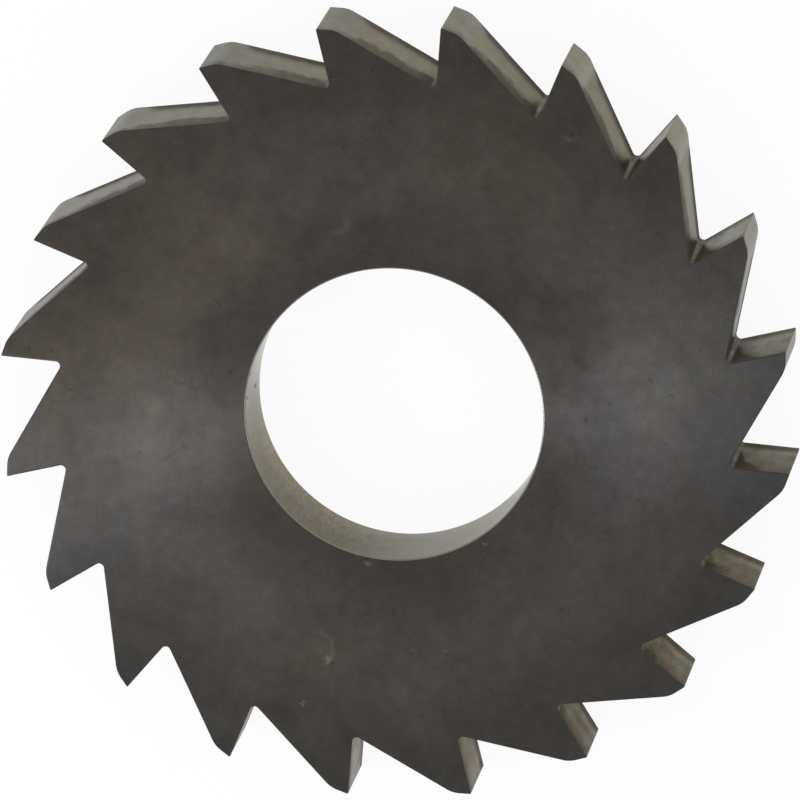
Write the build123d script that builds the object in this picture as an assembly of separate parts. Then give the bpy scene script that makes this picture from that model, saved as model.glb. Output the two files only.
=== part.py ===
from build123d import *
import os

# A small solid carbide slitting saw: one flat disc with a plain bore and coarse saw teeth.
# It lies flat. Z is the bore's axis, and z = 0 is the plane that the tooth sides rest on.
# Seen from above, every cutting face looks counter-clockwise.
# Lengths are in millimetres and angles in degrees.

# The disc
TIP_DIAMETER = 25.4
WIDTH = 3.175
BORE_DIAMETER = 9.525
BORE_EDGE_BREAK = 0.04

# Each side is ground hollow, so that only the teeth touch the slot they cut.
# The flat hub ring, which the arbor's flanges grip, lies this much inside the teeth.
HUB_DIAMETER = 15.0
SIDE_HOLLOW = 0.03

# One tooth, from its tip: the cutting face goes in to the gullet, and the land and the back trail behind.
TEETH = 20
RAKE_ANGLE = 2.5
CUTTING_FACE_LENGTH = 2.0
LAND_LENGTH = 0.6
RELIEF_ANGLE = 13.0
HEEL_RADIUS = 0.9
GULLET_RADIUS = 0.15

# The turned blank runs this far past the tooth tips before the teeth are ground.
BLANK_ALLOWANCE = 1.0

TIP_RADIUS = TIP_DIAMETER / 2
BORE_RADIUS = BORE_DIAMETER / 2
HUB_RADIUS = HUB_DIAMETER / 2
PITCH_ANGLE = 360 / TEETH


def step_from(start, length, heading):
    """The point that lies a length away from start, at a heading counted from +X."""
    return start + Vector(length, 0).rotate(Axis.Z, heading)


def tooth_corners():
    """Heel, tip and gullet corner of the tooth whose tip is on the X axis, before rounding."""
    tip = Vector(TIP_RADIUS, 0)
    heel = step_from(tip, LAND_LENGTH, -90 - RELIEF_ANGLE)
    gullet = step_from(tip, CUTTING_FACE_LENGTH, 180 + RAKE_ANGLE)
    return [heel, tip, gullet]


def on_every_tooth(corner):
    """The same corner of each tooth, all the way round the disc."""
    return [corner.rotate(Axis.Z, number * PITCH_ANGLE) for number in range(TEETH)]


def vertices_at(sketch, points):
    """The sketch's own vertices that lie nearest to the given points."""
    return ShapeList([sketch.vertices().sort_by_distance(point)[0] for point in points])


def saw_outline():
    """The toothed outline: a loop of straight lands, backs and cutting faces with rounded heels and gullets."""
    heels, tips, gullets = [on_every_tooth(corner) for corner in tooth_corners()]
    loop = [corner for tooth in zip(heels, tips, gullets) for corner in tooth]
    outline = make_face(Polyline(*loop, close=True))
    outline = fillet(vertices_at(outline, heels), HEEL_RADIUS)
    return fillet(vertices_at(outline, gullets), GULLET_RADIUS)


def ground_blank():
    """The disc before its teeth: bore with broken edges, flat hub ring and hollow sides, turned about Z."""
    side_rise = SIDE_HOLLOW / (TIP_RADIUS - HUB_RADIUS)
    rim = (TIP_RADIUS + BLANK_ALLOWANCE, -side_rise * BLANK_ALLOWANCE)
    hub_edge = (HUB_RADIUS, SIDE_HOLLOW)
    bore_rim = (BORE_RADIUS + BORE_EDGE_BREAK, SIDE_HOLLOW)
    bore_end = (BORE_RADIUS, SIDE_HOLLOW + BORE_EDGE_BREAK)
    under_side = [bore_end, bore_rim, hub_edge, rim]
    top_side = [(radius, WIDTH - height) for radius, height in reversed(under_side)]
    section = make_face(Plane.XZ * Polyline(*under_side, *top_side, close=True))
    return revolve(section, Axis.Z)


def saw_blade():
    """The blank with everything outside the toothed outline ground away."""
    through = extrude(saw_outline(), WIDTH / 2 + BLANK_ALLOWANCE, both=True)
    return ground_blank() & through.moved(Location((0, 0, WIDTH / 2)))


os.makedirs("parts", exist_ok=True)
export_step(saw_blade(), "parts/saw_blade.step")
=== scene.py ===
# %% [markdown]
# # A slitting saw of solid carbide
#
# A slitting saw is a narrow milling cutter. It rides on an arbor, between two flanges, and cuts
# slots. This one is one inch across and is ground from a single piece of sintered tungsten
# carbide, so it has no hub, tips or rivets of its own. The lesson makes one closed mesh, and
# spends its care on two things: the ground edges, and the finish of each ground surface, which
# differs on the flat sides, the backs of the teeth, their cutting faces and the bore.
#
# Sizes are worked out in millimetres, and become metres when the mesh is made.

import bpy
import numpy as np
from mathutils import Matrix, Vector


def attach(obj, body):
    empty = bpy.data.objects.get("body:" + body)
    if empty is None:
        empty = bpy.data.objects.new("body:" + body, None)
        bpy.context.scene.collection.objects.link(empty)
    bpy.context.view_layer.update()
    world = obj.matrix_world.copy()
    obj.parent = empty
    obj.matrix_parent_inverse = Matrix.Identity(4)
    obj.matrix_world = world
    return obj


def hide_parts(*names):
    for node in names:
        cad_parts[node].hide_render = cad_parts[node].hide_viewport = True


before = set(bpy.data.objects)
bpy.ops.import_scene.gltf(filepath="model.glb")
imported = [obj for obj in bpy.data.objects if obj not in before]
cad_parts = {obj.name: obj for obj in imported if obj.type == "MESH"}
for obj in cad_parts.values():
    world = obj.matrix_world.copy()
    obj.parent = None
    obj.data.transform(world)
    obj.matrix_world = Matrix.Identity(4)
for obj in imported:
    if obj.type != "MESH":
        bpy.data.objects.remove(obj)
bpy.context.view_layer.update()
MM = 0.001

# %% [markdown]
# ## The outline of one tooth
#
# Every tooth is the same, so one is drawn and turned twenty times. Points in the plane are
# complex numbers, x + iy, because turning a point about the axis is then one multiplication.
#
# Round the rim, against the clock, a tooth is met in this order: the gullet that it shares with
# the tooth before it, its long back, the heel, the narrow land, the tip and the cutting face.
# The heel and the gullet are rounded as the grinding wheel leaves them. The tip is sharp to the
# hand, but a camera close by sees that it is a few hundredths of a millimetre blunt.

# %% Sizes of the saw
TEETH = 20
TIP_RADIUS = 12.7
WIDTH = 3.175
BORE_RADIUS = 4.7625
RAKE_ANGLE = 2.5
CUTTING_FACE_LENGTH = 2.0
LAND_LENGTH = 0.6
RELIEF_ANGLE = 13.0
HEEL_RADIUS = 0.9
GULLET_RADIUS = 0.15
TIP_BLUNTNESS = 0.03

TOOTH_TURN = np.exp(2j * np.pi / TEETH)


def heading(degrees):
    """The unit step in that compass direction, counted against the clock from +X."""
    return np.exp(1j * np.radians(degrees))


tip = TIP_RADIUS + 0j
heel = tip + LAND_LENGTH * heading(-90 - RELIEF_ANGLE)
gullet = tip + CUTTING_FACE_LENGTH * heading(180 + RAKE_ANGLE)
gullet_before = gullet / TOOTH_TURN
tip_before = tip / TOOTH_TURN
print("heel at radius", round(abs(heel), 3), "and gullet at radius", round(abs(gullet), 3))


# %% Rounded corners and straight runs
def rounded_corner(before, corner, after, radius, count):
    """Points and headings on the arc that touches both sides of a corner.
    The centre lies on the corner's bisector, radius / sin(half the angle) away. A spoke turns
    evenly from one touching point to the other, and the heading is the spoke's rate of turn."""
    arm_in = (before - corner) / abs(before - corner)
    arm_out = (after - corner) / abs(after - corner)
    half_angle = np.arccos((arm_in * arm_out.conjugate()).real) / 2
    bisector = (arm_in + arm_out) / abs(arm_in + arm_out)
    centre = corner + bisector * radius / np.sin(half_angle)
    first_spoke = corner + arm_in * radius / np.tan(half_angle) - centre
    last_spoke = corner + arm_out * radius / np.tan(half_angle) - centre
    sweep = np.pi - 2 * half_angle
    t = np.linspace(0, 1, count)
    spokes = (np.sin((1 - t) * sweep) * first_spoke + np.sin(t * sweep) * last_spoke) / np.sin(sweep)
    turning = np.cos(t * sweep) * last_spoke - np.cos((1 - t) * sweep) * first_spoke
    return centre + spokes, turning / abs(turning)


def straight_run(start, end, count):
    """Evenly spaced points between start and end, without the two ends, and their heading."""
    t = np.linspace(0, 1, count + 2)[1:-1]
    return start + t * (end - start), np.full(count, (end - start) / abs(end - start))


# %% One tooth, from its gullet to its tip and down its cutting face
gullet_arc = rounded_corner(tip_before, gullet_before, heel, GULLET_RADIUS, count=8)
heel_arc = rounded_corner(gullet_before, heel, tip, HEEL_RADIUS, count=8)
tip_arc = rounded_corner(heel, tip, gullet, TIP_BLUNTNESS, count=5)
tooth_back = straight_run(gullet_arc[0][-1], heel_arc[0][0], count=26)
land = straight_run(heel_arc[0][-1], tip_arc[0][0], count=4)
cutting_face = straight_run(tip_arc[0][-1], gullet_arc[0][0] * TOOTH_TURN, count=14)

runs = [gullet_arc, tooth_back, heel_arc, land, tip_arc, cutting_face]
tooth_points = np.concatenate([points for points, headings in runs])
tooth_headings = np.concatenate([headings for points, headings in runs])

# %% Where each run of the tooth starts, and how far each point is from the tip along the wall
starts = np.cumsum([0] + [len(points) for points, headings in runs])
gullet_start, back_start, heel_start, land_start, tip_start, face_start, tooth_end = starts
blunt_point = (tip_start + face_start) // 2

step_lengths = abs(np.diff(np.append(tooth_points, tooth_points[0] * TOOTH_TURN)))
travel = np.concatenate([[0], np.cumsum(step_lengths[:-1])])
travel -= travel[blunt_point]
print("one tooth:", tooth_end, "points,", round(step_lengths.sum(), 3), "mm of edge")
print("from the tip, the gullet is at", round(travel[0], 3), "mm along the back")

# %% [markdown]
# ## The whole surface as one grid
#
# The saw is a ring, so its skin is the skin of a doughnut: one direction of the grid runs round
# the rim, and the other runs up the bore, out over the upper side, down the rim and back under
# the lower side. A profile carried along the tooth outline gives all of it in one piece, with no
# seam, and every edge gets the small round that real ground edges have.
#
# The grid lines leave the bore as spokes. Near the rim they fan out to the outline's points.
# The cutting face is nearly a spoke itself, so the spokes that end on it come from the side of
# the tooth's own body. That keeps all the cells of the grid unfolded.
#
# The sides are ground hollow by a few hundredths of a millimetre, so that a turning saw doesn't
# rub in its slot. Only the teeth have the full width.

# %% The outline round the rim
turns = TOOTH_TURN ** np.arange(TEETH)
outline = np.outer(turns, tooth_points).ravel()
outward = np.outer(turns, tooth_headings * -1j).ravel()
POINTS_ROUND = len(outline)
print("points round the rim:", POINTS_ROUND)

# %% The spokes: how many degrees past the gullet's corner the ones to each run leave the bore
FIRST_SPOKE = -1.0
SPOKES = [
    (gullet_start, FIRST_SPOKE),
    (back_start - 1, 0.4),
    (heel_start, 10.4),
    (land_start, 11.2),
    (face_start, 12.6),
    (tooth_end, FIRST_SPOKE + 360 / TEETH),
]
spoke_degrees = np.degrees(np.angle(gullet_before)) + np.interp(np.arange(tooth_end), *zip(*SPOKES))
spokes = np.outer(turns, heading(spoke_degrees)).ravel()

# %% The rings of the grid: their radii on the side, and their shares of each tooth and wall
SIDE_HOLLOW = 0.03
HUB_RADIUS = 7.5
ROOT_RADIUS = 10.3
EDGE_ROUND = 0.02
BORE_EDGE_ROUND = 0.04
EDGE_STRIP = EDGE_ROUND * 3
TIP_STRIP = TIP_BLUNTNESS * 0.9

SIDE_RADII = [4.85, 5.2, 5.8, 6.6, HUB_RADIUS, 8.4, 9.2, 9.8, ROOT_RADIUS]
TOOTH_SHARES = [0.3, 0.6, 0.85, 1.0]
WALL_SHARES = [0, 0.3, 0.55, 0.75, 0.88, 0.96, 1.0]
quarter = np.radians([90, 60, 30, 0])


def hollow_at(radius):
    """How far a side lies inside the full width: all of it on the hub, none at the tips, and a
    straight slope between the two."""
    return SIDE_HOLLOW * np.clip((TIP_RADIUS - radius) / (TIP_RADIUS - HUB_RADIUS), 0, 1)


def side_ring(plan, drop=0.0):
    """One ring of the upper half: its plan, and a height that is the side's less the drop."""
    return plan, WIDTH - hollow_at(abs(plan)) - drop


def wall_ring(plan, share):
    """One ring on an upright wall, at a share of the way from mid-width up to the edge strip."""
    top = WIDTH - hollow_at(abs(plan)) - EDGE_STRIP
    return plan, WIDTH / 2 + share * (top - WIDTH / 2)


# %% The upper half of the grid, from mid-width in the bore to mid-width on the rim
upper_rings = [wall_ring(spokes * BORE_RADIUS, share) for share in WALL_SHARES]
for angle in quarter:
    plan = spokes * (BORE_RADIUS + BORE_EDGE_ROUND * (1 - np.sin(angle)))
    upper_rings.append(side_ring(plan, BORE_EDGE_ROUND * (1 - np.cos(angle))))
for radius in SIDE_RADII:
    upper_rings.append(side_ring(spokes * radius))
strip = np.full(tooth_end, EDGE_STRIP)
strip[tip_start:face_start] = TIP_STRIP
edge_inset = outline - outward * np.tile(strip, TEETH)
for share in TOOTH_SHARES:
    upper_rings.append(side_ring(spokes * ROOT_RADIUS * (1 - share) + edge_inset * share))
for angle in quarter[::-1]:
    plan = outline - outward * EDGE_ROUND * (1 - np.sin(angle))
    upper_rings.append(side_ring(plan, EDGE_ROUND * (1 - np.cos(angle))))
upper_rings += [wall_ring(outline, share) for share in WALL_SHARES[::-1]]

# %% The lower half is the upper one mirrored about mid-width
plan = np.array([ring[0] for ring in upper_rings])
height = np.array([np.broadcast_to(ring[1], POINTS_ROUND) for ring in upper_rings])
plan = np.concatenate([plan, plan[-2:0:-1]])
height = np.concatenate([height, WIDTH - height[-2:0:-1]])
RINGS = len(plan)
print("rings:", RINGS, "and cells:", RINGS * POINTS_ROUND)


# %% Test that no cell is folded
def cell_areas(plan):
    """Signed area in the plan of each cell of the grid: half the cross product of its diagonals.
    On the upper side all of them have one sign when no cell is folded over."""
    right = np.roll(plan, -1, axis=1)
    diagonal_a = right[1:] - plan[:-1]
    diagonal_b = right[:-1] - plan[1:]
    return (diagonal_a.conj() * diagonal_b).imag / 2


upper_count = len(upper_rings)
wall_count = len(WALL_SHARES)
bore_count = wall_count + len(quarter) - 1
flat_areas = cell_areas(plan[bore_count:upper_count - bore_count])
print("cell areas on the upper side run from", flat_areas.min(), "to", flat_areas.max(), "mm2")

# %% [markdown]
# ## The mesh and its map
#
# Each kind of surface gets its own material, so each cell notes which one it belongs to.
# The grinding on the teeth and in the bore follows the wall, so the mesh carries a map in real
# millimetres: on a tooth, u is the distance from the tip (below zero on the back, above zero on
# the cutting face) and v is the height. In the bore u runs round the wall, and on the sides the
# map is the plan, x and y.

# %% Make the mesh
rows, columns = np.meshgrid(np.arange(RINGS), np.arange(POINTS_ROUND), indexing="ij")
next_row = (rows + 1) % RINGS
next_column = (columns + 1) % POINTS_ROUND
cells = np.stack(
    [
        rows * POINTS_ROUND + columns,
        next_row * POINTS_ROUND + columns,
        next_row * POINTS_ROUND + next_column,
        rows * POINTS_ROUND + next_column,
    ],
    axis=-1,
).reshape(-1, 4)
vertices = np.stack([plan.real, plan.imag, height], axis=-1).reshape(-1, 3)

mesh = bpy.data.meshes.new("carbide_saw")
mesh.from_pydata(vertices * MM, [], cells.tolist())
mesh.polygons.foreach_set("use_smooth", np.ones(len(cells), bool))
saw = bpy.data.objects.new("carbide_saw", mesh)
bpy.context.scene.collection.objects.link(saw)

# %% Test that the faces look outwards: the sum of the cells' signed volumes is then above zero
corners = vertices[cells]
edge_crosses = np.cross(corners[:, 1], corners[:, 2]) + np.cross(corners[:, 2], corners[:, 3])
volume = np.einsum("ij,ij->i", corners[:, 0], edge_crosses).sum() / 6
print("volume inside the skin:", round(volume, 1), "mm3, above zero when the faces look outwards")

# %% Note the kind of each cell
SIDE, TOOTH_BACK, BORE_WALL, CUTTING_FACE = range(4)
ring_kind = np.full(RINGS, SIDE)
ring_kind[upper_count - wall_count - 1:upper_count + wall_count - 1] = TOOTH_BACK
ring_kind[:bore_count] = BORE_WALL
ring_kind[-bore_count:] = BORE_WALL
cell_kind = np.repeat(ring_kind[:, None], POINTS_ROUND, axis=1)
u_left = np.tile(travel, TEETH)
cell_kind[(cell_kind == TOOTH_BACK) & (u_left >= 0)] = CUTTING_FACE
mesh.polygons.foreach_set("material_index", cell_kind.ravel().astype(np.int32))
print("cells on sides, backs, bore and cutting faces:", np.bincount(cell_kind.ravel()))

# %% Lay the map of millimetres
u_right = u_left + np.tile(step_lengths, TEETH)
bore_left = np.unwrap(np.angle(spokes)) * BORE_RADIUS
bore_right = np.append(bore_left[1:], bore_left[0] + 2 * np.pi * BORE_RADIUS)
u_wall = np.stack([u_left, u_left, u_right, u_right], axis=-1)
u_bore = np.stack([bore_left, bore_left, bore_right, bore_right], axis=-1)

corner_grid = corners.reshape(RINGS, POINTS_ROUND, 4, 3)
kind_of_row = ring_kind[:, None, None]
map_u = np.where(kind_of_row == BORE_WALL, u_bore[None], u_wall[None])
map_u = np.where(kind_of_row == SIDE, corner_grid[..., 0], map_u)
map_v = np.where(kind_of_row == SIDE, corner_grid[..., 1], corner_grid[..., 2])
wall_map = mesh.uv_layers.new(name="wall_mm")
wall_map.data.foreach_set("uv", np.stack([map_u, map_v], axis=-1).ravel())
mesh.validate()
mesh.update()

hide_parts("saw_blade")
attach(saw, "root")
print("triangles:", 2 * len(mesh.polygons))

# %% [markdown]
# ## Finishes
#
# Sintered tungsten carbide is a dark metal. Ground surfaces of it look almost black from
# straight above and shine at a glancing angle, which is why the walls of the teeth look so much
# paler than the sides. A metallic shader does the same by itself, so one dark grey serves for
# all the finishes, and they differ in the direction and the dirt of the grinding.
#
# The dirt, and the shade that is painted on the walls of the teeth, are worked out as one number,
# how clean and unshaded the metal is, which drives Metallic: residue and painted shade take the
# shine away. What is seen at a glancing angle hardly depends on the base colour, so films and
# patches on the walls are painted into the Specular Tint as well.
#
# A few helpers come first. One turns a hex colour as seen on a screen into the linear numbers
# that Blender's nodes expect, and one adds a node with its settings and links.


# %% Helpers for the node trees
def paint(hex_colour):
    """sRGB hex to linear RGBA: each channel is divided by 12.92 near black, and else it is
    ((c + 0.055) / 1.055) to the power 2.4."""
    c = np.array([int(hex_colour[i:i + 2], 16) for i in (1, 3, 5)]) / 255
    linear = np.where(c <= 0.04045, c / 12.92, ((c + 0.055) / 1.055) ** 2.4)
    return (*linear.tolist(), 1.0)


def grey(value):
    """A linear grey as a colour."""
    return (value, value, value, 1.0)


# Nearly all of what a noise gives lies between these two values
NOISE_SPAN = {"From Min": 0.25, "From Max": 0.75}


def empty_tree(owner):
    """The node tree of a material or of a world, with nothing in it."""
    owner.use_nodes = True
    owner.node_tree.nodes.clear()
    return owner.node_tree


def add(kind, inputs=None, stops=None, out=None, **settings):
    """A new node in tree, the node tree that is being built. Settings are set first, then each
    input gets a value or a link. Stops are the places and colours of a Color Ramp, and a colour
    that is one number is a grey. It returns the output named by out, or the first one in use."""
    node = tree.nodes.new("ShaderNode" + kind)
    for name, value in settings.items():
        setattr(node, name, value)
    for key, value in (inputs or {}).items():
        if isinstance(value, bpy.types.NodeSocket):
            tree.links.new(value, node.inputs[key])
        else:
            node.inputs[key].default_value = value
    if stops:
        elements = node.color_ramp.elements
        while len(elements) < len(stops):
            elements.new(0.5)
        for element, (place, colour) in zip(elements, stops):
            element.position = place
            element.color = colour if isinstance(colour, tuple) else grey(colour)
    if out:
        return node.outputs[out]
    return next((output for output in node.outputs if output.enabled), None)


# %% [markdown]
# ### The sides: carbide ground in circles
#
# Each side is ground flat on a turning table, so the scratches are circles about the bore. They
# are far finer than a pixel here. What shows of them is the pair of pale fans that point at the
# lamps: along a scratch the metal is smooth, across it it is rough. The anisotropic shader makes
# the fans when its tangent points away from the bore.
#
# The grey isn't even. It is a little paler half-way out, where the wheel cut last, and it has
# soft brown, olive and blue clouds, as carbide has that was ground and handled. Two paler clouds
# on the lower left are a painted highlight, and the teeth are painted paler towards the left lamp.


# %% Circular-ground carbide: where a point is, in mm, and its direction from the bore
def place_in_mm():
    """Where a point of the surface is, in millimetres, for the material that is being built."""
    place = add("TexCoord", out="Object")
    return add("VectorMath", {0: place, "Scale": 1 / MM}, operation="SCALE")


sides = bpy.data.materials.new("Carbide, sintered, ground in circles")
tree = empty_tree(sides)
place_mm = place_in_mm()
in_plan = add("VectorMath", {0: place_mm, 1: (1, 1, 0)}, operation="MULTIPLY")
radius = add("VectorMath", {0: in_plan}, operation="LENGTH")
spoke = add("VectorMath", {0: in_plan}, operation="NORMALIZE")

# %% The wheel lifted towards the rim, so outside the hub the circles wind, by 5 degrees in all
wind = float(np.radians(-5.0))
turn = add("MapRange", {"Value": radius, "From Min": HUB_RADIUS, "From Max": TIP_RADIUS, "To Max": wind})
across_lay = add("VectorRotate", {"Vector": spoke, "Angle": turn}, rotation_type="Z_AXIS")

# %% The tone from the bore to the rim
share_out = add("MapRange", {"Value": radius, "From Min": BORE_RADIUS, "From Max": TIP_RADIUS})
tone = add(
    "ValToRGB",
    {"Fac": share_out},
    stops=[
        (0.0, 0.80), (0.08, 0.81), (0.20, 0.89), (0.28, 0.95), (0.40, 1.0),
        (0.52, 0.94), (0.60, 0.88), (0.72, 0.80), (1.0, 0.77),
    ],
)


# %% Helpers for what lies in one place, and for ragged outlines
# Where dirt lies on a tooth's wall is given at about half the width
MID_HEIGHT = 1.6


def by_distance(place, spot, start, end, low=0.0, high=1.0, **settings):
    """A number that follows how far a place is from a spot, in mm: it goes from low, where that
    distance is the start, to high, where it is the end, evenly unless the settings say how."""
    away = add("VectorMath", {0: place, 1: spot}, operation="DISTANCE")
    ends = {"From Min": start, "From Max": end, "To Min": low, "To Max": high}
    return add("MapRange", {"Value": away, **ends}, **settings)


def patch(place, spot, outer, inner=0.0):
    """A soft round patch: 1 up to the inner distance from the spot, in mm, 0 past the outer."""
    return by_distance(place, spot, outer, inner, interpolation_type="SMOOTHSTEP")


def shaken(place, reach, **noise):
    """A place that a noise has shifted along each axis, by up to half the reach either way."""
    shift = add("TexNoise", {"Vector": place_mm, **noise}, out="Color")
    shift = add("VectorMath", {0: shift, 1: (-0.5, -0.5, -0.5)}, operation="ADD")
    shift = add("VectorMath", {0: shift, 1: reach}, operation="MULTIPLY")
    return add("VectorMath", {0: place, 1: shift}, operation="ADD")


# %% Clouds of stain, and a broad painted highlight: where each is, in mm, how far it reaches, and its colour
STAINS_AND_HIGHLIGHT = [
    ((-7.4, 4.6), 5.2, "#56504A"),
    ((-10.0, 0.6), 3.6, "#544E47"),
    ((-1.8, -8.2), 3.4, "#534D48"),
    # The next two paler clouds, on the lower left, are a broad painted highlight, not a stain
    ((-5.4, -6.6), 6.0, "#54504C"),
    ((2.6, 9.0), 4.2, "#4D4A44"),
    ((5.3, 2.9), 1.9, "#443F3B"),
    ((6.9, -0.5), 4.6, "#4D4A49"),
    ((9.8, 3.8), 3.2, "#4D4B48"),
    ((11.2, 0.2), 2.4, "#4B4A4A"),
    ((0.8, -10.2), 2.6, "#524E4A"),
    ((-7.4, -3.6), 2.8, "#514C4A"),
    ((-9.2, -6.8), 3.4, "#4B4B4A"),
]
# Their outlines wander by a noise with waves of 2 mm
drifted = shaken(in_plan, (9.0, 9.0, 0.0), Scale=0.45, Detail=4.0, Roughness=0.6)
tint = paint("#4D4945")
for (x, y), reach, colour in STAINS_AND_HIGHLIGHT:
    cover = patch(drifted, (x, y, 0), reach)
    tint = add("Mix", {"Factor": cover, "A": tint, "B": paint(colour)}, data_type="RGBA")
print("clouds of stain:", len(STAINS_AND_HIGHLIGHT))

# %% The teeth on the lower side are a cooler grey
out_on_teeth = add("MapRange", {"Value": radius, "From Min": 10.6, "From Max": 13.0})
lower_side = add("VectorMath", {0: spoke, 1: (0.5, -0.86, 0)}, operation="DOT_PRODUCT")
lower_side = add("MapRange", {"Value": lower_side, "From Min": -0.3, "From Max": 0.4})
lower_teeth = add("Math", {0: out_on_teeth, 1: lower_side}, operation="MULTIPLY")
tint = add("Mix", {"Factor": lower_teeth, "A": tint, "B": paint("#4A4A48")}, data_type="RGBA")

# %% Painted light: the teeth are a little paler on the side of the left lamp and darker on the other
on_teeth = add("MapRange", {"Value": radius, "From Min": 10.6, "From Max": 11.6})
to_left = add("VectorMath", {0: spoke, 1: (-0.9, -0.44, 0)}, operation="DOT_PRODUCT")
teeth_lamp_light = add("MapRange", {"Value": to_left, "From Min": -1.0, "To Min": -0.12, "To Max": 0.08})
teeth_lamp_light = add("Math", {0: on_teeth, 1: teeth_lamp_light, 2: 1.0}, operation="MULTIPLY_ADD")
tint = add("VectorMath", {0: tint, "Scale": teeth_lamp_light}, operation="SCALE")

# %% A mottle of tones, 1.2 mm to 0.05 mm wide, and one of hues
mottle_wide = add("TexNoise", {"Vector": place_mm, "Scale": 0.8, "Detail": 2.0})
mottle_fine = add("TexNoise", {"Vector": place_mm, "Scale": 3.0, "Detail": 4.0, "Roughness": 0.75})
mottle = add("Math", {0: mottle_wide, 1: mottle_fine}, operation="ADD")
mottle_tone = add(
    "MapRange", {"Value": mottle, "From Min": 0.6, "From Max": 1.4, "To Min": 0.80, "To Max": 1.20}
)
hues = mottle_fine.node.outputs["Color"]
HUE_SHARE = 0.2
mottle_hue = add("Mix", {"Factor": HUE_SHARE, "A": grey(1.0), "B": hues}, data_type="RGBA")
tint = add("VectorMath", {0: tint, 1: mottle_hue}, operation="MULTIPLY")
# The hues take a tenth of the light away on the whole, and this gives it back
HUE_GAIN = 1.11
tint = add("VectorMath", {0: tint, "Scale": HUE_GAIN}, operation="SCALE")

# %% Marks of handling, whose outlines are ragged by about 0.06 mm
# An arc fades out over so many degrees at either side of its ends
ARC_FADE = 15
frayed = shaken(in_plan, (0.35, 0.35, 0.0), Scale=5.0, Detail=2.0)


def chained(operation, *values):
    """One number from several, taken two by two: MAXIMUM gives the strongest of them at each
    place, and MULTIPLY their product."""
    result = values[0]
    for value in values[1:]:
        result = add("Math", {0: result, 1: value}, operation=operation)
    return result


def speck(x, y, size):
    """A soft round speck about a place."""
    return patch(frayed, (x, y, 0), size, size * 0.3)


def arc(x, y, size, width, towards, spread):
    """A part of a ring about a place: near the ring's closest point, and within the spread of a
    heading, in degrees."""
    arm = add("VectorMath", {0: frayed, 1: (x, y, 0)}, operation="SUBTRACT")
    aim = add("VectorMath", {0: arm}, operation="NORMALIZE")
    closest = add("VectorMath", {0: aim, "Scale": size}, operation="SCALE")
    middle = (heading(towards).real, heading(towards).imag, 0)
    facing = add("VectorMath", {0: aim, 1: middle}, operation="DOT_PRODUCT")
    ends = {"From Min": heading(spread + ARC_FADE).real, "From Max": heading(spread - ARC_FADE).real}
    in_spread = add("MapRange", {"Value": facing, **ends})
    return chained("MULTIPLY", patch(arm, closest, width), in_spread)


def scratch(x0, y0, x1, y1, width):
    """A straight scratch: near the closest point of the line between its two ends."""
    run = Vector((x1 - x0, y1 - y0, 0))
    arm = add("VectorMath", {0: in_plan, 1: (x0, y0, 0)}, operation="SUBTRACT")
    share = add("VectorMath", {0: arm, 1: run / run.length_squared}, operation="DOT_PRODUCT")
    share = add("Math", {0: share, 1: 0.0}, operation="ADD", use_clamp=True)
    closest = add("VectorMath", {0: run, "Scale": share}, operation="SCALE")
    return patch(arm, closest, width)


# %% Where the marks are, in the order of what speck, arc and scratch ask for
BRIGHT_SPECKS = [
    (-1.80, -9.93, 0.13), (-1.17, -8.33, 0.16), (3.36, -3.76, 0.10), (-0.29, -5.03, 0.14),
    (-0.60, -4.70, 0.12),
]
RUBBED_ARCS = [
    (-2.55, 5.97, 0.35, 0.20, -45, 65),
    (-1.60, -8.08, 0.57, 0.10, 20, 70),
    (4.48, 9.92, 0.22, 0.12, -90, 80),
]
RUBBED_SPECKS = [(1.49, -7.59, 0.12), (2.58, -7.49, 0.10)]
PITS = [
    (7.92, 2.36, 0.15), (8.65, 1.94, 0.12), (6.10, 0.75, 0.12), (-6.55, -2.07, 0.15),
    (-10.36, -0.73, 0.12), (-1.61, 5.15, 0.12), (-1.19, 9.51, 0.12), (0.72, -6.45, 0.14),
    (-0.04, -6.96, 0.10), (-1.03, -8.46, 0.10), (4.48, 9.93, 0.12), (-0.33, -4.86, 0.12),
    (-11.82, 0.36, 0.13), (-11.09, 0.44, 0.13),
]
SCRATCHES = [
    (-7.05, 0.02, -6.32, -0.15, 0.09),
    (9.87, 2.34, 10.17, 2.16, 0.09),
    (-7.09, -2.60, -6.67, -2.17, 0.08),
]
rubbed_bright = chained("MAXIMUM", *[speck(*mark) for mark in BRIGHT_SPECKS])
rubbed_marks = [arc(*mark) for mark in RUBBED_ARCS] + [speck(*mark) for mark in RUBBED_SPECKS]
rubbed_and_floor_glow = chained("MAXIMUM", *rubbed_marks)
pitted = chained("MAXIMUM", *[speck(*mark) for mark in PITS])
scratched = chained("MAXIMUM", *[scratch(*mark) for mark in SCRATCHES])
print("pits:", len(PITS), "and scratches:", len(SCRATCHES))

# %% Faint specks all over: one in each cell of a scatter, some dark and some pale
off_seed = add("TexVoronoi", {"Vector": place_mm, "Scale": 1.5})
near_seed = add(
    "MapRange",
    {"Value": off_seed, "From Min": 0.13, "From Max": 0.05},
    interpolation_type="SMOOTHSTEP",
)
chance = add("SeparateColor", {"Color": off_seed.node.outputs["Color"]}, out="Red")
seed_tone = add("MapRange", {"Value": chance, "To Min": -0.22, "To Max": 0.16})

# %% One tone for all the marks
marks = [
    (rubbed_bright, 0.85),
    (rubbed_and_floor_glow, 0.28),
    (pitted, -0.22),
    (scratched, -0.12),
    (near_seed, seed_tone),
]
mark_tone = 1.0
for cover, strength in marks:
    mark_tone = add("Math", {0: cover, 1: strength, 2: mark_tone}, operation="MULTIPLY_ADD")

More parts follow.
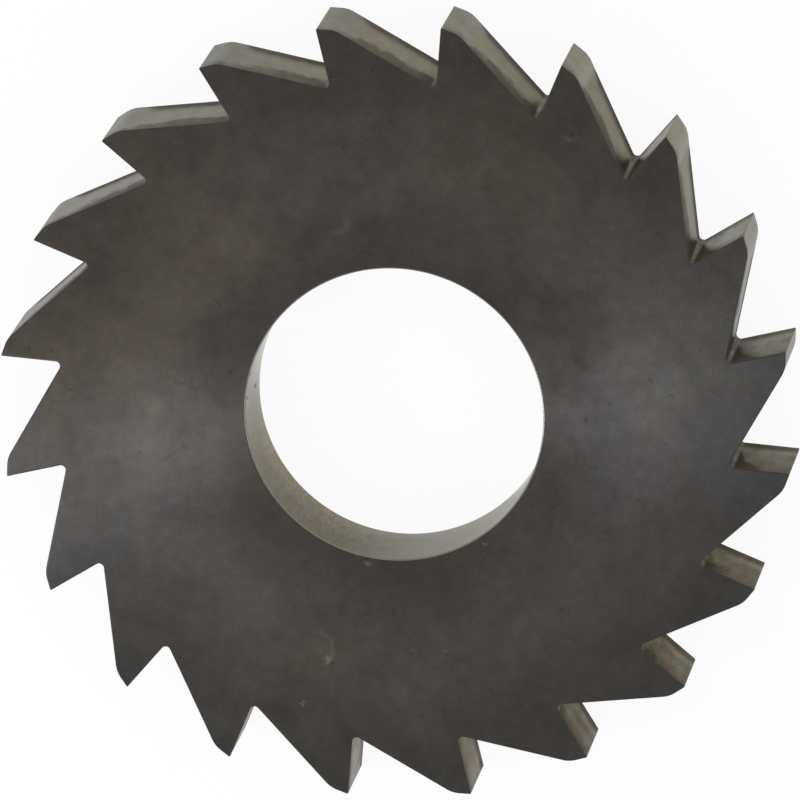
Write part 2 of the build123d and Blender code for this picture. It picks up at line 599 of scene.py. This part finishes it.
# %% Scratches in circles, long round the bore
# Real ones are a few thousandths of a millimetre across. These are 0.06 mm, so that some show.
spoke_wide = add("VectorMath", {0: spoke, "Scale": 6.0}, operation="SCALE")
lift = add("CombineXYZ", {"Z": radius})
lift_fine = add("VectorMath", {0: lift, "Scale": 8.0}, operation="SCALE")
lay = add("VectorMath", {0: spoke_wide, 1: lift_fine}, operation="ADD")
scratches = add("TexNoise", {"Vector": lay, "Scale": 1.0, "Detail": 5.0, "Roughness": 0.7})
scratch_tone = add("MapRange", {"Value": scratches, **NOISE_SPAN, "To Min": 0.96, "To Max": 1.04})

# %% Put the sides together
tinted = add("VectorMath", {0: tint, 1: tone}, operation="MULTIPLY")
all_tones = chained("MULTIPLY", mottle_tone, scratch_tone, mark_tone)
side_colour = add("VectorMath", {0: tinted, "Scale": all_tones}, operation="SCALE")
relief = add("Bump", {"Height": scratches, "Strength": 0.1, "Distance": 0.01 * MM})
shader = add(
    "BsdfPrincipled",
    {
        "Base Color": side_colour,
        "Metallic": 1.0,
        "Roughness": 0.45,
        "Anisotropic": 0.9,
        "Tangent": across_lay,
        "Normal": relief,
    },
)
add("OutputMaterial", {"Surface": shader})
print(sides.name + ":", len(tree.nodes), "nodes")

# %% [markdown]
# ### The tooth backs, lands and gullets: carbide ground by a thin diamond wheel
#
# Each tooth was ground by a wheel that ran along its back, so the scratches follow the wall. Along
# the lower edge of the back runs a thin dark line, which is painted shade. A film of dark residue
# lies in a band a millimetre high along the upper edge, which fades out before the land. The land
# was ground last and is clean, and the lands of one side are painted paler, as a painted
# reflection. The residue isn't a metal, so the map of it and of the painted shade drives Metallic
# as well as the colour.
#
# Residue that is painted straight on looks printed. Here the height up the wall is shifted by a
# noise before the residue is read from it, so its edges are ragged as a dried film's are.


# %% Where a point is on a tooth's wall, and what is read from its height
def wall_places(reach):
    """The distance from the tip and the height, in mm, and two ragged heights: one is shifted by
    a noise with waves of 0.5 mm, by up to the reach, and one by up to a fifth of it."""
    from_tip = add("SeparateXYZ", {"Vector": add("UVMap", uv_map="wall_mm")}, out="X")
    height = from_tip.node.outputs["Y"]
    noise = add("TexNoise", {"Vector": place_mm, "Scale": 2.0, "Detail": 4.0, "Roughness": 0.6})
    shift = add("MapRange", {"Value": noise, **NOISE_SPAN, "To Min": -reach, "To Max": reach})
    ragged_height = add("Math", {0: height, 1: shift}, operation="ADD")
    line_height = add("Math", {0: shift, 1: 0.2, 2: height}, operation="MULTIPLY_ADD")
    return from_tip, height, ragged_height, line_height


def by_height(height, stops):
    """A number or a colour that follows the height. The stops' places are shares of the width."""
    share = add("Math", {0: height, 1: 1 / WIDTH}, operation="MULTIPLY")
    return add("ValToRGB", {"Fac": share}, stops=stops)


backs = bpy.data.materials.new("Carbide, sintered, ground by a diamond wheel")
tree = empty_tree(backs)
place_mm = place_in_mm()
from_tip, height, ragged_height, line_height = wall_places(reach=0.4)

# %% The upper band starts at the heel as a wedge, and is darkest on one side of the saw
wedge = add(
    "MapRange", {"Value": from_tip, "From Min": -1.2, "From Max": -2.4, "To Min": -0.5, "To Max": 0.0}
)
band_height = add("Math", {0: ragged_height, 1: wedge}, operation="ADD")
upper_clean = by_height(
    band_height, [(0.63, 1.0), (0.69, 0.72), (0.75, 0.42), (0.88, 0.28), (1.0, 0.20)]
)
packed = by_distance(place_mm, (2.3, 11.2, MID_HEIGHT), start=2.5, end=7.0, low=1.38, high=1.0)
upper_clean = add("Math", {0: upper_clean, 1: packed}, operation="POWER")

# %% Painted shade: the line along the lower edge is thin, its edge is less ragged, and it starts as a wedge too
line_wedge = add(
    "MapRange", {"Value": from_tip, "From Min": -0.95, "From Max": -1.5, "To Min": 0.7, "To Max": 0.0}
)
line_height = add("Math", {0: line_height, 1: line_wedge}, operation="ADD")
lower_edge_shade = by_height(
    line_height,
    [(0.0, 0.24), (0.12, 0.20), (0.16, 0.33), (0.21, 0.66), (0.30, 0.92), (0.36, 1.0)],
)
back_residue_and_shade = add("Math", {0: upper_clean, 1: lower_edge_shade}, operation="MINIMUM")

# %% The land is clean, but for its top edge
on_land = add("MapRange", {"Value": from_tip, "From Min": -1.2, "From Max": -0.95})
below_edge = add("MapRange", {"Value": ragged_height, "From Min": 3.2, "From Max": 2.65, "To Min": 0.2})
land_clean = add("Math", {0: on_land, 1: below_edge}, operation="MULTIPLY")

# %% Crumbs of residue, 0.5 mm wide, lie in the gullet, and painted shade darkens the whole gullet, most near the top and on one side of the saw
in_gullet = add("MapRange", {"Value": from_tip, "From Min": -4.05, "From Max": -4.15})
crumbs = add("TexNoise", {"Vector": place_mm, "Scale": 2.2, "Detail": 3.0, "Roughness": 0.6})
between_crumbs = add(
    "MapRange", {"Value": crumbs, "From Min": 0.40, "From Max": 0.60, "To Min": 0.38, "To Max": 0.85}
)
less_dull = by_distance(place_mm, (11.5, 0.0, MID_HEIGHT), start=6.0, end=12.0, low=0.75)
below_top = add(
    "MapRange", {"Value": height, "From Min": 2.0, "From Max": 2.8, "To Min": 1.0, "To Max": 0.6}
)
gullet_crumbs_and_shade = chained("MULTIPLY", between_crumbs, less_dull, below_top)
wall_residue_and_shade = add("Mix", {"Factor": in_gullet, "A": back_residue_and_shade, "B": gullet_crumbs_and_shade})
clean_and_unshaded = add("Mix", {"Factor": land_clean, "A": wall_residue_and_shade, "B": 1.0})


# %% Streaks of the wheel, and patches where it cut more or less keenly
# Real scratches are too fine to show, so the streaks are drawn 1.5 mm long and 0.15 mm high. The
# patches are 0.3 mm wide and 0.8 mm high.
def stretched_noise(waves, detail, roughness=0.5):
    """A noise that is drawn out: waves says how many it has in a millimetre along each axis."""
    stretched = add("VectorMath", {0: place_mm, 1: waves}, operation="MULTIPLY")
    look = {"Scale": 1.0, "Detail": detail, "Roughness": roughness}
    return add("TexNoise", {"Vector": stretched, **look})


streaks = stretched_noise((0.7, 0.7, 6.0), detail=4.0)
streak_tone = add("MapRange", {"Value": streaks, **NOISE_SPAN, "To Min": 0.90, "To Max": 1.14})
patches = stretched_noise((3.0, 3.0, 1.3), detail=4.0, roughness=0.7)

# %% Painted reflection: the lands are a little paler on one side of the saw. One back is dimmer than the rest
land_reflection = by_distance(place_mm, (9.0, 9.0, MID_HEIGHT), start=3.0, end=16.0, low=1.4, high=0.8)
land_reflection = add("Mix", {"Factor": on_land, "A": 1.0, "B": land_reflection})
dim = by_distance(place_mm, (5.6, 10.0, MID_HEIGHT), start=2.0, end=5.0, low=0.90, high=1.0)
dim = add("Mix", {"Factor": on_land, "A": dim, "B": 1.0})
back_tone = chained("MULTIPLY", streak_tone, land_reflection, dim)

# %% The olive and brown film on the backs of one side
filmed = by_distance(place_mm, (3.0, 11.3, MID_HEIGHT), start=10.0, end=6.0)
off_land = add("MapRange", {"Value": on_land, "To Min": 1.0, "To Max": 0.3})
filmed = add("Math", {0: filmed, 1: off_land}, operation="MULTIPLY")
clouds = add("TexNoise", {"Vector": place_mm, "Scale": 1.1, "Detail": 4.0, "Roughness": 0.7})
film_sheen = add(
    "ValToRGB",
    {"Fac": clouds},
    stops=[
        (0.40, (1.0, 0.995, 0.85, 1.0)),
        (0.50, (1.0, 0.98, 0.89, 1.0)),
        (0.60, (1.0, 0.955, 0.90, 1.0)),
    ],
)
sheen = add("Mix", {"Factor": filmed, "A": (1.0, 1.0, 0.985, 1.0), "B": film_sheen}, data_type="RGBA")


# %% Put the backs together
def finish_wall(colour, sheen, clean_and_unshaded, patches, raised, tone=1.0, sheen_tone=1.0):
    """The shader of a tooth's wall. The patches make its colour and its sheen paler or darker,
    the sheen by less and never past white, and what is raised bends the light a little."""
    patch_tone = add("MapRange", {"Value": patches, **NOISE_SPAN, "To Min": 0.90, "To Max": 1.20})
    patch_sheen = add("MapRange", {"Value": patches, **NOISE_SPAN, "To Min": 0.90, "To Max": 1.05})
    colour_tone = chained("MULTIPLY", patch_tone, tone)
    sheen_tone = chained("MULTIPLY", patch_sheen, sheen_tone)
    colour = add("VectorMath", {0: colour, "Scale": colour_tone}, operation="SCALE")
    sheen = add("VectorMath", {0: sheen, "Scale": sheen_tone}, operation="SCALE")
    sheen = add("VectorMath", {0: sheen, 1: (1.0, 1.0, 1.0)}, operation="MINIMUM")
    relief = add("Bump", {"Height": raised, "Strength": 0.15, "Distance": 0.01 * MM})
    shader = add(
        "BsdfPrincipled",
        {
            "Base Color": colour,
            "Metallic": clean_and_unshaded,
            "Roughness": 0.35,
            "Specular IOR Level": 0.0,
            "Specular Tint": sheen,
            "Normal": relief,
        },
    )
    add("OutputMaterial", {"Surface": shader})


metal = add("Mix", {"Factor": clean_and_unshaded, "A": paint("#524E49"), "B": paint("#565042")}, data_type="RGBA")
finish_wall(metal, sheen, clean_and_unshaded, patches, streaks, back_tone, dim)
print(backs.name + ":", len(tree.nodes), "nodes")

# %% [markdown]
# ### The cutting faces: carbide ground by the same wheel, and stained
#
# The cutting faces have the same thin dark line of painted shade along the lower edge, and it
# deepens towards the gullet. Coolant dried on those of one side of the saw and left a film in olive
# and brown blots, which spares the tip, with smudges in it where drops dried. Chips have packed a
# dark crust into the upper corner by the gullet of some teeth, and painted shade darkens that
# corner too and runs beside the crust under the top edge. On all of them the metal is painted
# darker towards the top edge, as shade, and on one side of the saw a darker strip of painted shade
# lies along it.
#
# Each of these is a layer with a place, an outline and a colour of its own, so each gets its own
# cell, and takes its share from how clean and unshaded the metal is.

# %% Stained cutting faces
faces = bpy.data.materials.new("Carbide, sintered, ground and stained by coolant")
tree = empty_tree(faces)
place_mm = place_in_mm()
from_tip, _, ragged_height, line_height = wall_places(reach=0.2)
down_face = add("Math", {0: from_tip, 1: 1 / CUTTING_FACE_LENGTH}, operation="MULTIPLY")

# %% How clean and unshaded the metal is on the stained side and on the clean side
# Both ramps hold the painted shade of the thin line along the lower edge and of the top edge
stained_side_clean_and_shade = by_height(
    line_height,
    [
        (0.0, 0.24), (0.12, 0.20), (0.16, 0.34), (0.22, 0.64), (0.29, 0.76), (0.42, 0.51),
        (0.64, 0.55), (0.78, 0.46), (0.87, 0.40), (0.93, 0.33), (1.0, 0.26),
    ],
)
spared_side_clean_and_shade = by_height(
    line_height,
    [(0.0, 0.42), (0.12, 0.38), (0.17, 0.56), (0.25, 0.83), (0.34, 0.95), (0.75, 0.96), (1.0, 0.50)],
)
stain_centre = (11.0, -5.5, MID_HEIGHT)
unstained = by_distance(place_mm, stain_centre, start=6.5, end=13.0, interpolation_type="SMOOTHSTEP")
clean_and_unshaded = add("Mix", {"Factor": unstained, "A": stained_side_clean_and_shade, "B": spared_side_clean_and_shade})

# %% The painted shade of the line along the lower edge deepens from the tip to the gullet
low_down = add("MapRange", {"Value": line_height, "From Min": 1.2, "From Max": 0.8})
deepening = add(
    "MapRange", {"Value": from_tip, "From Min": 0.15, "From Max": 1.5, "To Min": 1.25, "To Max": 0.66}
)
deepening = add("Mix", {"Factor": low_down, "A": 1.0, "B": deepening})
clean_and_unshaded = add("Math", {0: clean_and_unshaded, 1: deepening}, operation="MULTIPLY")

# %% A film of dried coolant, grey by the tip, then pinkish brown, then olive by the gullet
# Its blots are 0.5 mm wide and 1.2 mm high, as drops leave them that ran down the wall
blots = stretched_noise((2.0, 2.0, 0.8), detail=4.0, roughness=0.65)
film_depth = add("Math", {0: down_face, 1: blots}, operation="ADD")
film_depth = add("Math", {0: film_depth, 1: 0.5}, operation="SUBTRACT")
film = add(
    "ValToRGB",
    {"Fac": film_depth},
    stops=[
        (0.08, paint("#565145")), (0.22, paint("#5A4F44")), (0.34, paint("#5B4D42")),
        (0.48, paint("#574E40")), (0.62, paint("#565039")), (0.80, paint("#54503C")),
    ],
)
film_sheen = add(
    "ValToRGB",
    {"Fac": film_depth},
    stops=[
        (0.08, (1.0, 0.995, 0.955, 1.0)), (0.22, (1.0, 0.98, 0.93, 1.0)),
        (0.34, (1.0, 0.965, 0.91, 1.0)), (0.48, (1.0, 0.975, 0.91, 1.0)),
        (0.62, (1.0, 0.985, 0.885, 1.0)), (0.80, (1.0, 0.99, 0.905, 1.0)),
    ],
)
blot_clean = add(
    "MapRange", {"Value": blots, "From Min": 0.35, "From Max": 0.65, "To Min": 1.25, "To Max": 0.72}
)
clean_and_unshaded = add("Math", {0: clean_and_unshaded, 1: blot_clean}, operation="MULTIPLY", use_clamp=True)

# %% The film spares the tip in part, and the teeth of the far side altogether
at_tip = add("MapRange", {"Value": from_tip, "From Min": 0.45, "From Max": 0.15, "To Max": 0.6})
off_film = by_distance(place_mm, (8.5, -8.5, MID_HEIGHT), start=6.0, end=12.0)
unfilmed = add("Math", {0: at_tip, 1: off_film}, operation="MAXIMUM")

# %% A crust of chips by the gullet, with painted shade in that corner: how high its foot is, in mm, at shares of the way down the face
CRUST_AND_SHADE_FOOT = [(0.40, 3.0), (0.58, 2.6), (0.75, 2.3), (0.81, 1.7), (0.87, 1.15), (0.93, 1.4), (0.98, 2.0)]
crust_and_shade_foot = add(
    "ValToRGB", {"Fac": down_face}, stops=[(share, foot / WIDTH) for share, foot in CRUST_AND_SHADE_FOOT]
)
height_share = add("Math", {0: ragged_height, 1: 1 / WIDTH}, operation="MULTIPLY")
above_foot = add("Math", {0: height_share, 1: crust_and_shade_foot}, operation="SUBTRACT")
crust_and_shade = add("MapRange", {"Value": above_foot, "From Min": -0.03, "From Max": 0.07, "To Max": 0.88})
thickness = add("MapRange", {"Value": ragged_height, "From Min": 1.4, "From Max": 2.6, "To Min": 0.85})
by_gullet = add("MapRange", {"Value": from_tip, "From Min": 0.8, "From Max": 1.2})
crust_and_shade_side = by_distance(place_mm, (11.5, 3.0, MID_HEIGHT), start=9.5, end=3.5)
crust_and_shade = chained("MULTIPLY", by_gullet, crust_and_shade, thickness, crust_and_shade_side)

# %% Painted shade: a dull strip under the top edge beside the crust, and a darker strip along it on one side of the saw
near_top = add("MapRange", {"Value": ragged_height, "From Min": 2.3, "From Max": 2.9})
painted_shade_by_crust = chained("MULTIPLY", by_gullet, near_top, crust_and_shade_side)
clean_and_unshaded = add("Mix", {"Factor": painted_shade_by_crust, "A": clean_and_unshaded, "B": 0.26})

top_edge_shade_height = add("Math", {0: from_tip, 1: 0.35, 2: ragged_height}, operation="MULTIPLY_ADD")
top_edge_shade = add("MapRange", {"Value": top_edge_shade_height, "From Min": 2.6, "From Max": 3.35})
top_edge_shaded = by_distance(place_mm, (7.0, -9.8, MID_HEIGHT), start=7.0, end=1.5, high=0.5)
top_edge_shade = add("Math", {0: top_edge_shade, 1: top_edge_shaded}, operation="MULTIPLY")
clean_and_unshaded = add("Mix", {"Factor": top_edge_shade, "A": clean_and_unshaded, "B": 0.0})
clean_and_unshaded = add("Mix", {"Factor": crust_and_shade, "A": clean_and_unshaded, "B": 0.0})


# %% Smudges where drops dried, each about three times as high as it is wide, and ragged
def tall_spots(place, spots, core):
    """Soft spots three times as high as they are wide. The height is pressed to a third, and then
    the spots are round. The core is the share of a spot that has its full strength."""
    pressed = add("VectorMath", {0: place, 1: (1.0, 1.0, 1 / 3)}, operation="MULTIPLY")
    covers = [patch(pressed, (x, y, z / 3), across, across * core) for (x, y, z), across in spots]
    return chained("MAXIMUM", *covers)


SMUDGES = [
    ((10.44, -3.46, 2.76), 0.22),
    ((10.62, -3.52, 2.46), 0.20),
    ((10.84, -3.59, 2.40), 0.20),
    ((11.06, -3.66, 2.50), 0.16),
    ((8.92, -6.57, 2.84), 0.24),
    ((9.14, -6.72, 2.94), 0.16),
    ((9.22, -6.77, 1.50), 0.13),
    ((9.77, -7.13, 2.26), 0.12),
    ((12.10, -0.11, 1.55), 0.09),
]
smudged_place = shaken(place_mm, (0.5, 0.5, 1.8), Scale=5.0, Detail=3.0)
smudged = tall_spots(smudged_place, SMUDGES, core=0.1)
smudge_clean = add("Math", {0: smudged, 1: -0.38, 2: 1.0}, operation="MULTIPLY_ADD")
clean_and_unshaded = add("Math", {0: clean_and_unshaded, 1: smudge_clean}, operation="MULTIPLY")
print("smudges:", len(SMUDGES))

# %% Put the cutting faces together
colour = add("Mix", {"Factor": unfilmed, "A": film, "B": paint("#565145")}, data_type="RGBA")
colour = add("Mix", {"Factor": crust_and_shade, "A": colour, "B": paint("#554D42")}, data_type="RGBA")
colour = add("Mix", {"Factor": smudged, "A": colour, "B": paint("#48422F")}, data_type="RGBA")
sheen = add("Mix", {"Factor": unfilmed, "A": film_sheen, "B": (1.0, 1.0, 0.96, 1.0)}, data_type="RGBA")
patches = stretched_noise((3.5, 3.5, 1.2), detail=3.0, roughness=0.65)
finish_wall(colour, sheen, clean_and_unshaded, patches, blots)
print(faces.name + ":", len(tree.nodes), "nodes")

# %% [markdown]
# ### The bore: carbide honed to size
#
# The bore has to slide on its arbor, so it is honed smooth. The bare metal is a little paler
# towards the lower side. On one side oil has dried on it in olive and brown blots, at both ends of
# that film the lower part is painted bright, as a painted reflection of the lit floor, and there
# are three pits. The edge is broken, and it is painted brighter than the wall, as a painted
# highlight.

# %% Honed carbide, with the long bands that honing leaves, 3 mm long and 0.6 mm high
bore = bpy.data.materials.new("Carbide, sintered, honed")
tree = empty_tree(bore)
place_mm = place_in_mm()
bands = stretched_noise((0.35, 0.35, 1.6), detail=5.0, roughness=0.6)
shift = add("MapRange", {"Value": bands, **NOISE_SPAN, "To Min": -0.7, "To Max": 0.7})
level = add("SeparateXYZ", {"Vector": place_mm}, out="Z")
ragged_height = add("Math", {0: level, 1: shift}, operation="ADD")
bare = by_height(
    ragged_height, [(0.10, paint("#67635A")), (0.35, paint("#524F49")), (0.85, paint("#4A4844"))]
)

# %% A film of oil has dried on one side of the bore, in olive and brown blots, and a haze beside it
filmed = patch(place_mm, (-3.2, -3.6, 1.9), outer=4.8, inner=1.8)
hazed = by_distance(place_mm, (3.2, -3.7, 1.9), start=2.6, end=0.6, high=0.45)
filmed = add("Math", {0: filmed, 1: hazed}, operation="MAXIMUM")
film = by_height(
    ragged_height, [(0.10, 0.105), (0.30, 0.075), (0.48, 0.040), (0.60, 0.024), (0.95, 0.016)]
)
blots = stretched_noise((2.0, 2.0, 0.7), detail=3.0, roughness=0.6)
film_hue = add(
    "ValToRGB",
    {"Fac": blots},
    stops=[
        (0.38, (0.9, 0.86, 0.55, 1.0)), (0.48, (1.25, 1.12, 0.75, 1.0)),
        (0.54, (0.95, 0.72, 0.50, 1.0)), (0.62, (1.3, 1.08, 0.80, 1.0)),
    ],
)
film_sheen = add(
    "ValToRGB",
    {"Fac": blots},
    stops=[
        (0.38, (0.93, 0.915, 0.80, 1.0)), (0.48, (0.99, 0.96, 0.86, 1.0)),
        (0.54, (0.94, 0.875, 0.79, 1.0)), (0.62, (1.0, 0.955, 0.88, 1.0)),
    ],
)
film = add("VectorMath", {0: film, 1: film_hue}, operation="MULTIPLY")
colour = add("Mix", {"Factor": filmed, "A": bare, "B": film}, data_type="RGBA")
sheen = add("Mix", {"Factor": filmed, "A": (1.0, 0.99, 0.955, 1.0), "B": film_sheen}, data_type="RGBA")

# %% Painted reflection of the lit floor: the wall is bright low down, at both ends of the film
FLOOR_GLOW_ENDS = [((-4.5, 1.8, 0.4), 2.8), ((4.5, -1.7, 0.3), 1.7)]
rubbed_and_floor_glow = chained("MAXIMUM", *[patch(place_mm, spot, reach, reach * 0.2) for spot, reach in FLOOR_GLOW_ENDS])
colour = add("Mix", {"Factor": rubbed_and_floor_glow, "A": colour, "B": paint("#B2B3AD")}, data_type="RGBA")

# %% Three pits, drawn tall because the wall is seen so slantwise from above
WALL_PITS = [((-4.75, -0.33, 1.04), 0.10), ((-4.73, 0.54, 2.88), 0.09), ((-4.75, -0.27, 2.78), 0.07)]
pitted = tall_spots(place_mm, WALL_PITS, core=0.4)
colour = add("Mix", {"Factor": pitted, "A": colour, "B": paint("#2A2926")}, data_type="RGBA")
sheen = add("Mix", {"Factor": pitted, "A": sheen, "B": grey(0.45)}, data_type="RGBA")

# %% The broken edge, with a painted highlight, and the bore put together
edge_highlight = add("MapRange", {"Value": level, "From Min": 3.07, "From Max": 3.11})
colour = add("Mix", {"Factor": edge_highlight, "A": colour, "B": paint("#7A776E")}, data_type="RGBA")
shader = add(
    "BsdfPrincipled", {"Base Color": colour, "Metallic": 1.0, "Roughness": 0.28, "Specular Tint": sheen}
)
add("OutputMaterial", {"Surface": shader})
print(bore.name + ":", len(tree.nodes), "nodes")

# %% Give each kind of cell its finish, in the order of SIDE, TOOTH_BACK, BORE_WALL, CUTTING_FACE
for material in (sides, backs, bore, faces):
    mesh.materials.append(material)

# %% [markdown]
# ## The studio
#
# The saw lies on a pale floor under a white sky, which lights it evenly, and one soft lamp on
# each side draws the fans on the ground sides. The floor and the sky are white to the camera and
# to whatever mirrors them, because Light Path tells them what kind of ray asks. The floor glows
# for only a part, and takes the light as paper does for the rest, so it keeps a faint shadow.


# %% Floor
def seen():
    """1 for what the camera sees, straight, in a mirror or through glass, and else 0."""
    camera_ray = add("LightPath", out="Is Camera Ray")
    rays = camera_ray.node.outputs
    return chained("MAXIMUM", camera_ray, rays["Is Glossy Ray"], rays["Is Transmission Ray"])


FLOOR_HALF = 600.0
FLOOR_GAP = 0.002
GLOW_SHARE = 0.93
floor_corners = np.array([[-1, -1, 0], [1, -1, 0], [1, 1, 0], [-1, 1, 0]]) * FLOOR_HALF * MM
floor_mesh = bpy.data.meshes.new("floor")
floor_mesh.from_pydata(floor_corners - [0, 0, FLOOR_GAP * MM], [], [(0, 1, 2, 3)])
floor = bpy.data.objects.new("floor", floor_mesh)
bpy.context.scene.collection.objects.link(floor)

paper = bpy.data.materials.new("Paper, white")
tree = empty_tree(paper)
share = add("Math", {0: seen(), 1: GLOW_SHARE}, operation="MULTIPLY")
matt = add("BsdfDiffuse", {"Color": grey(0.85)})
glow = add("Emission", {"Color": grey(1.0), "Strength": 1.0})
sheet = add("MixShader", {0: share, 1: matt, 2: glow})
add("OutputMaterial", {"Surface": sheet})
floor_mesh.materials.append(paper)

# %% Sky: white where it is seen, and a tenth dimmer as a light
world = bpy.data.worlds.new("white_sky")
bpy.context.scene.world = world
tree = empty_tree(world)
strength = add("MapRange", {"Value": seen(), "To Min": 0.9, "To Max": 1.0})
sky = add("Background", {"Color": grey(1.0), "Strength": strength})
add("OutputWorld", {"Surface": sky})


# %% Lamps
def soft_lamp(name, spot, across, radiance, colour):
    """A round area lamp at a spot in mm that looks at the saw. A disc's power is its radiance
    times pi times its area."""
    light = bpy.data.lights.new(name, "AREA")
    light.shape = "DISK"
    light.size = across * MM
    light.energy = radiance * np.pi * np.pi / 4 * (across * MM) ** 2
    light.color = colour
    lamp = bpy.data.objects.new(name, light)
    lamp.location = Vector(spot) * MM
    lamp.rotation_mode = "QUATERNION"
    lamp.rotation_quaternion = (-lamp.location).to_track_quat("-Z", "Y")
    lamp.visible_camera = False
    bpy.context.scene.collection.objects.link(lamp)


soft_lamp("left_softbox", (-52, -30, 46), across=24, radiance=12.0, colour=(0.95, 1.0, 1.08))
soft_lamp("right_softbox", (62, -13, 114), across=32, radiance=4.5, colour=(0.9, 1.0, 1.2))

# %% [markdown]
# ## The camera
#
# The photograph was taken from almost straight above with a long lens. The camera's place was
# worked out from the ellipses of the rim and of the bore, which fix its azimuth and elevation,
# and from the drift of the lower edges, which fixes its distance.

# %% Camera
AZIMUTH = 159.722
ELEVATION = 73.207
ROLL = -152.002
DISTANCE = 369.37
AIM = (0.1374, 0.5113, 3.175)

camera_data = bpy.data.cameras.new("camera")
camera_data.lens = 524.9
camera_data.sensor_width = 36.0
camera_data.clip_start = 0.01
camera = bpy.data.objects.new("camera", camera_data)
turn = Matrix.Rotation(np.radians(AZIMUTH), 3, "Z")
tilt = Matrix.Rotation(np.radians(90 - ELEVATION), 3, "X")
roll = Matrix.Rotation(np.radians(ROLL), 3, "Z")
facing = turn @ tilt @ roll
camera.location = (Vector(AIM) + facing @ Vector((0, 0, DISTANCE))) * MM
camera.rotation_mode = "QUATERNION"
camera.rotation_quaternion = facing.to_quaternion()
bpy.context.scene.collection.objects.link(camera)
bpy.context.scene.camera = camera
bpy.context.scene.view_settings.view_transform = "Standard"
print("camera at, mm:", [round(v / MM, 1) for v in camera.location])
